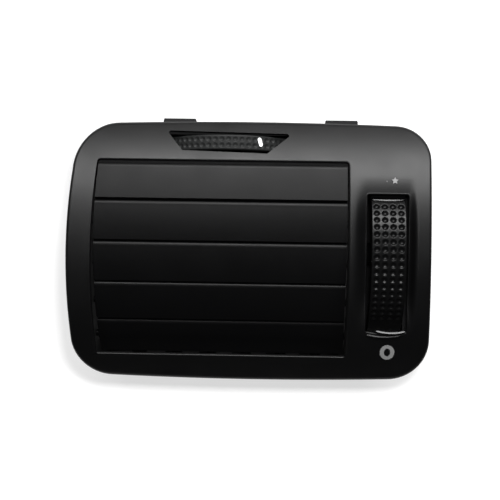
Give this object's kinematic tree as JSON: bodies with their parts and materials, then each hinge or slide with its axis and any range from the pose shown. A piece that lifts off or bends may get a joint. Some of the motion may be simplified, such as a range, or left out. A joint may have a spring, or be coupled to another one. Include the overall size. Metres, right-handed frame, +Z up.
{
  "type": "dashboard air vent",
  "caption": "Rectangular dashboard air vent with a curved bezel, closing horizontal slats, guide vanes behind them and two knurled thumbwheels.",
  "frame": {"origin": "centre of the bounding box", "axes": "+Z up, the bezel's face looks along -Y and the duct runs back along +Y, +X to the right as seen from the front"},
  "size_m": [0.1686, 0.0848, 0.1242],
  "materials": {
    "satin_black": "satin",
    "slat_black": "satin",
    "housing_black": "matte",
    "grip_black": "satin",
    "link_grey": "matte",
    "gear_white": "satin",
    "steel": "brushed",
    "mark_white": "matte",
    "print_grey": "matte",
    "foam": "open-cell foam",
    "felt": "felt"
  },
  "bodies": {
    "housing": {"bezel": "satin_black", "duct_housing": "housing_black", "slat_wheel_axle": "steel", "slat_wheel_clip": "steel", "vane_wheel_clip": "steel", "friction_washer": "felt", "clip_left": "steel", "clip_right": "steel", "duct_seal": "foam", "closed_symbol": "print_grey", "open_symbol": "mark_white", "wheel_cover": "housing_black", "dial_cover": "housing_black"},
    "slat_wheel": {"slat_wheel": "grip_black"},
    "slat_link": {"slat_link": "link_grey"},
    "vane_wheel": {"vane_wheel": "grip_black", "index_mark": "mark_white"},
    "vane_link": {"vane_link": "link_grey"},
    "slat_1": {"slat_1": "slat_black"},
    "slat_2": {"slat_2": "slat_black"},
    "slat_3": {"slat_3": "slat_black", "slat_pinion": "gear_white"},
    "slat_4": {"slat_4": "slat_black"},
    "slat_5": {"slat_5": "slat_black"},
    "vane_1": {"vane_1": "housing_black"},
    "vane_2": {"vane_2": "housing_black"},
    "vane_3": {"vane_3": "housing_black"},
    "vane_4": {"vane_4": "housing_black"},
    "vane_5": {"vane_5": "housing_black"},
    "vane_6": {"vane_6": "housing_black"}
  },
  "joints": [
    {"name": "slat_wheel_turn", "type": "hinge", "parent": "housing", "child": "slat_wheel", "pos_m": [0.0643, -0.0004, -0.0013], "axis": [1, 0, 0], "range_deg": [-38, 0]},
    {"name": "slat_1_tilt", "type": "hinge", "parent": "housing", "child": "slat_1", "pos_m": [0.0007, -0.03284, 0.03032], "axis": [1, 0, 0], "range_deg": [0, 76]},
    {"name": "slat_2_tilt", "type": "hinge", "parent": "housing", "child": "slat_2", "pos_m": [0.0007, -0.0349, 0.01168], "axis": [1, 0, 0], "range_deg": [0, 76]},
    {"name": "slat_3_tilt", "type": "hinge", "parent": "housing", "child": "slat_3", "pos_m": [0.0007, -0.03315, -0.00698], "axis": [1, 0, 0], "range_deg": [0, 76]},
    {"name": "slat_4_tilt", "type": "hinge", "parent": "housing", "child": "slat_4", "pos_m": [0.0007, -0.02768, -0.02492], "axis": [1, 0, 0], "range_deg": [0, 76]},
    {"name": "slat_5_tilt", "type": "hinge", "parent": "housing", "child": "slat_5", "pos_m": [0.0007, -0.01871, -0.04138], "axis": [1, 0, 0], "range_deg": [0, 76]},
    {"name": "slat_link_swing", "type": "hinge", "parent": "slat_3", "child": "slat_link", "pos_m": [-0.0773, -0.02821, -0.01193], "axis": [1, 0, 0], "range_deg": [-76, 0]},
    {"name": "vane_wheel_turn", "type": "hinge", "parent": "housing", "child": "vane_wheel", "pos_m": [-0.0107, 0.0014, 0.0501], "axis": [0, 0, 1], "range_deg": [-60, 10]},
    {"name": "vane_1_turn", "type": "hinge", "parent": "housing", "child": "vane_1", "pos_m": [-0.0532, 0.0014, -0.0008], "axis": [0, 0, 1], "range_deg": [-60, 10]},
    {"name": "vane_2_turn", "type": "hinge", "parent": "housing", "child": "vane_2", "pos_m": [-0.0362, 0.0014, -0.0008], "axis": [0, 0, 1], "range_deg": [-60, 10]},
    {"name": "vane_3_turn", "type": "hinge", "parent": "housing", "child": "vane_3", "pos_m": [-0.0192, 0.0014, -0.0008], "axis": [0, 0, 1], "range_deg": [-60, 10]},
    {"name": "vane_4_turn", "type": "hinge", "parent": "housing", "child": "vane_4", "pos_m": [-0.0022, 0.0014, -0.0008], "axis": [0, 0, 1], "range_deg": [-60, 10]},
    {"name": "vane_5_turn", "type": "hinge", "parent": "housing", "child": "vane_5", "pos_m": [0.0148, 0.0014, -0.0008], "axis": [0, 0, 1], "range_deg": [-60, 10]},
    {"name": "vane_6_turn", "type": "hinge", "parent": "housing", "child": "vane_6", "pos_m": [0.0318, 0.0014, -0.0008], "axis": [0, 0, 1], "range_deg": [-60, 10]},
    {"name": "vane_link_swing", "type": "hinge", "parent": "vane_4", "child": "vane_link", "pos_m": [-0.00558, 0.00865, 0.0453], "axis": [0, 0, 1], "range_deg": [-10, 60]}
  ],
  "couplings": [
    {"joint": "slat_1_tilt", "follows": "slat_wheel_turn", "ratio": -2},
    {"joint": "slat_2_tilt", "follows": "slat_wheel_turn", "ratio": -2},
    {"joint": "slat_3_tilt", "follows": "slat_wheel_turn", "ratio": -2},
    {"joint": "slat_4_tilt", "follows": "slat_wheel_turn", "ratio": -2},
    {"joint": "slat_5_tilt", "follows": "slat_wheel_turn", "ratio": -2},
    {"joint": "slat_link_swing", "follows": "slat_wheel_turn", "ratio": 2},
    {"joint": "vane_1_turn", "follows": "vane_wheel_turn", "ratio": 1},
    {"joint": "vane_2_turn", "follows": "vane_wheel_turn", "ratio": 1},
    {"joint": "vane_3_turn", "follows": "vane_wheel_turn", "ratio": 1},
    {"joint": "vane_4_turn", "follows": "vane_wheel_turn", "ratio": 1},
    {"joint": "vane_5_turn", "follows": "vane_wheel_turn", "ratio": 1},
    {"joint": "vane_6_turn", "follows": "vane_wheel_turn", "ratio": 1},
    {"joint": "vane_link_swing", "follows": "vane_wheel_turn", "ratio": -1}
  ]
}
